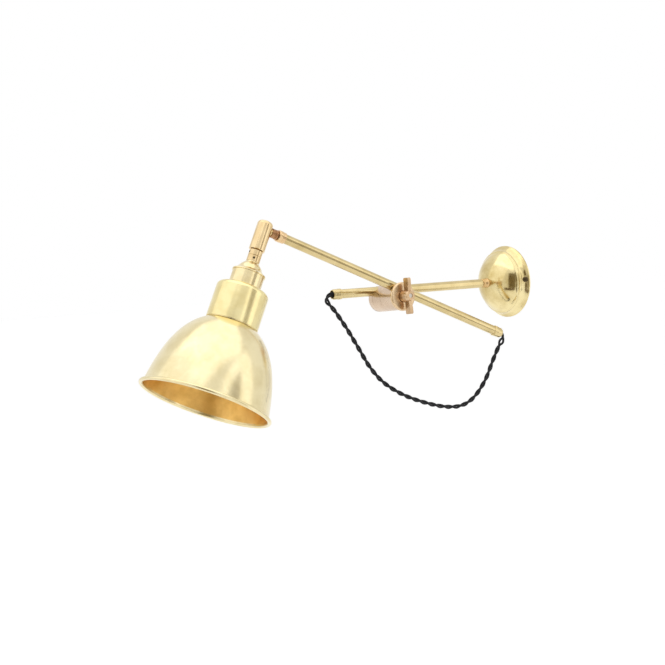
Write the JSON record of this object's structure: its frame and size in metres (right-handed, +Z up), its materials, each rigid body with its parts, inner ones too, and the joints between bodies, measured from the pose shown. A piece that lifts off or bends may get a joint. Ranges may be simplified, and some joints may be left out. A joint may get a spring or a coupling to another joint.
{
  "type": "wall lamp",
  "caption": "Swing-arm wall lamp: domed rose, two sliding, pivoting tubes in a round wing-nut clamp, hanging flex and a bell shade on a knuckle.",
  "frame": {"origin": "centre of the rose's back face, on the wall", "axes": "+Y into the wall, +Z up, +X to the side the sliding arm is on; the lamp stands out towards -Y"},
  "size_m": [0.1954, 0.6129, 0.2771],
  "materials": {
    "zinc_steel": "zinc plated, dull",
    "pale_brass": "polished, lacquered",
    "screw_brass": "turned, plain",
    "dark_steel": "blackened",
    "white_plastic": "matte",
    "rosy_brass": "turned and brushed, rosy tone",
    "bronze_brass": "turned and brushed, darker tone",
    "bolt_steel": "satin",
    "dark_bronze": "aged, dark",
    "golden_brass": "polished",
    "shade_brass": "spun and polished, lacquered",
    "black_plastic": "matte",
    "porcelain": "glazed",
    "black_fabric": "woven sleeve, twisted pair"
  },
  "bodies": {
    "wall_rose": {"mounting_plate": "zinc_steel", "rose": "pale_brass", "rose_screws": "dark_steel", "terminal_block": "white_plastic", "terminal_screws": "screw_brass", "earth_screw": "screw_brass", "rose_nipple": "screw_brass", "rose_washer": "zinc_steel", "rose_locknut": "screw_brass", "rose_collar": "rosy_brass"},
    "rear_arm": {"rear_arm_tube": "pale_brass", "rear_ferrule": "pale_brass", "rear_bush": "black_plastic", "rear_inner_flex": "black_fabric", "flex_rear": "black_fabric"},
    "clamp_rear": {"rear_jaw": "rosy_brass", "rear_block": "rosy_brass", "clamp_bolt": "bolt_steel", "flex_middle": "black_fabric"},
    "clamp_front": {"front_block": "rosy_brass", "clamp_disc": "bronze_brass", "clamp_washer": "rosy_brass"},
    "wing_nut": {"wing_nut": "bronze_brass"},
    "front_arm": {"front_arm_tube": "pale_brass", "front_ferrule": "pale_brass", "front_bush": "black_plastic", "front_inner_flex": "black_fabric", "outer_collar": "golden_brass", "head_nipple": "screw_brass", "head_lock_ring": "dark_bronze", "flex_front": "black_fabric"},
    "head_knuckle": {"knuckle": "golden_brass", "head_stem": "screw_brass", "stem_nut": "screw_brass", "swivel_collar": "golden_brass", "swivel_grub": "dark_steel"},
    "lamp_head": {"holder_coupler": "golden_brass", "coupler_grub": "dark_steel", "lampholder_cap": "golden_brass", "lampholder_body": "golden_brass", "socket_insulator": "porcelain", "socket_shell": "screw_brass", "socket_contact": "screw_brass", "head_flex": "black_fabric", "shade_ring": "golden_brass", "shade_neck": "shade_brass", "shade_bell": "shade_brass"}
  },
  "joints": [
    {"name": "arm_roll", "type": "hinge", "parent": "wall_rose", "child": "rear_arm", "pos_m": [0, -0.05, 0], "axis": [0, -1, 0], "range_deg": [-99, 81]},
    {"name": "clamp_slide", "type": "slide", "parent": "rear_arm", "child": "clamp_rear", "axis": [0, -1, 0], "range_m": [-0.025, 0.045], "deforming": ["flex_rear"]},
    {"name": "arm_pitch", "type": "hinge", "parent": "clamp_rear", "child": "clamp_front", "pos_m": [0.00167, -0.225, -0.01052], "axis": [-0.9877, 0, -0.1564], "range_deg": [-53, 51.5], "deforming": ["flex_middle"]},
    {"name": "arm_slide", "type": "slide", "parent": "clamp_front", "child": "front_arm", "axis": [-0.0619, -0.9184, 0.3907], "range_m": [-0.02, 0.13], "deforming": ["flex_front"]},
    {"name": "head_turn", "type": "hinge", "parent": "front_arm", "child": "head_knuckle", "pos_m": [0.0222, -0.42836, 0.09315], "axis": [-0.0619, -0.9184, 0.3907], "range_deg": [-91.5, 88.5]},
    {"name": "shade_swivel", "type": "hinge", "parent": "head_knuckle", "child": "lamp_head", "pos_m": [0.02863, -0.44749, 0.05631], "axis": [0.153, -0.4555, -0.877], "range_deg": [-170, 170]},
    {"name": "wing_nut_turn", "type": "hinge", "parent": "clamp_rear", "child": "wing_nut", "pos_m": [0.055, -0.225, -0.00207], "axis": [0.9877, 0, 0.1564], "range_deg": [-180, 180]}
  ]
}
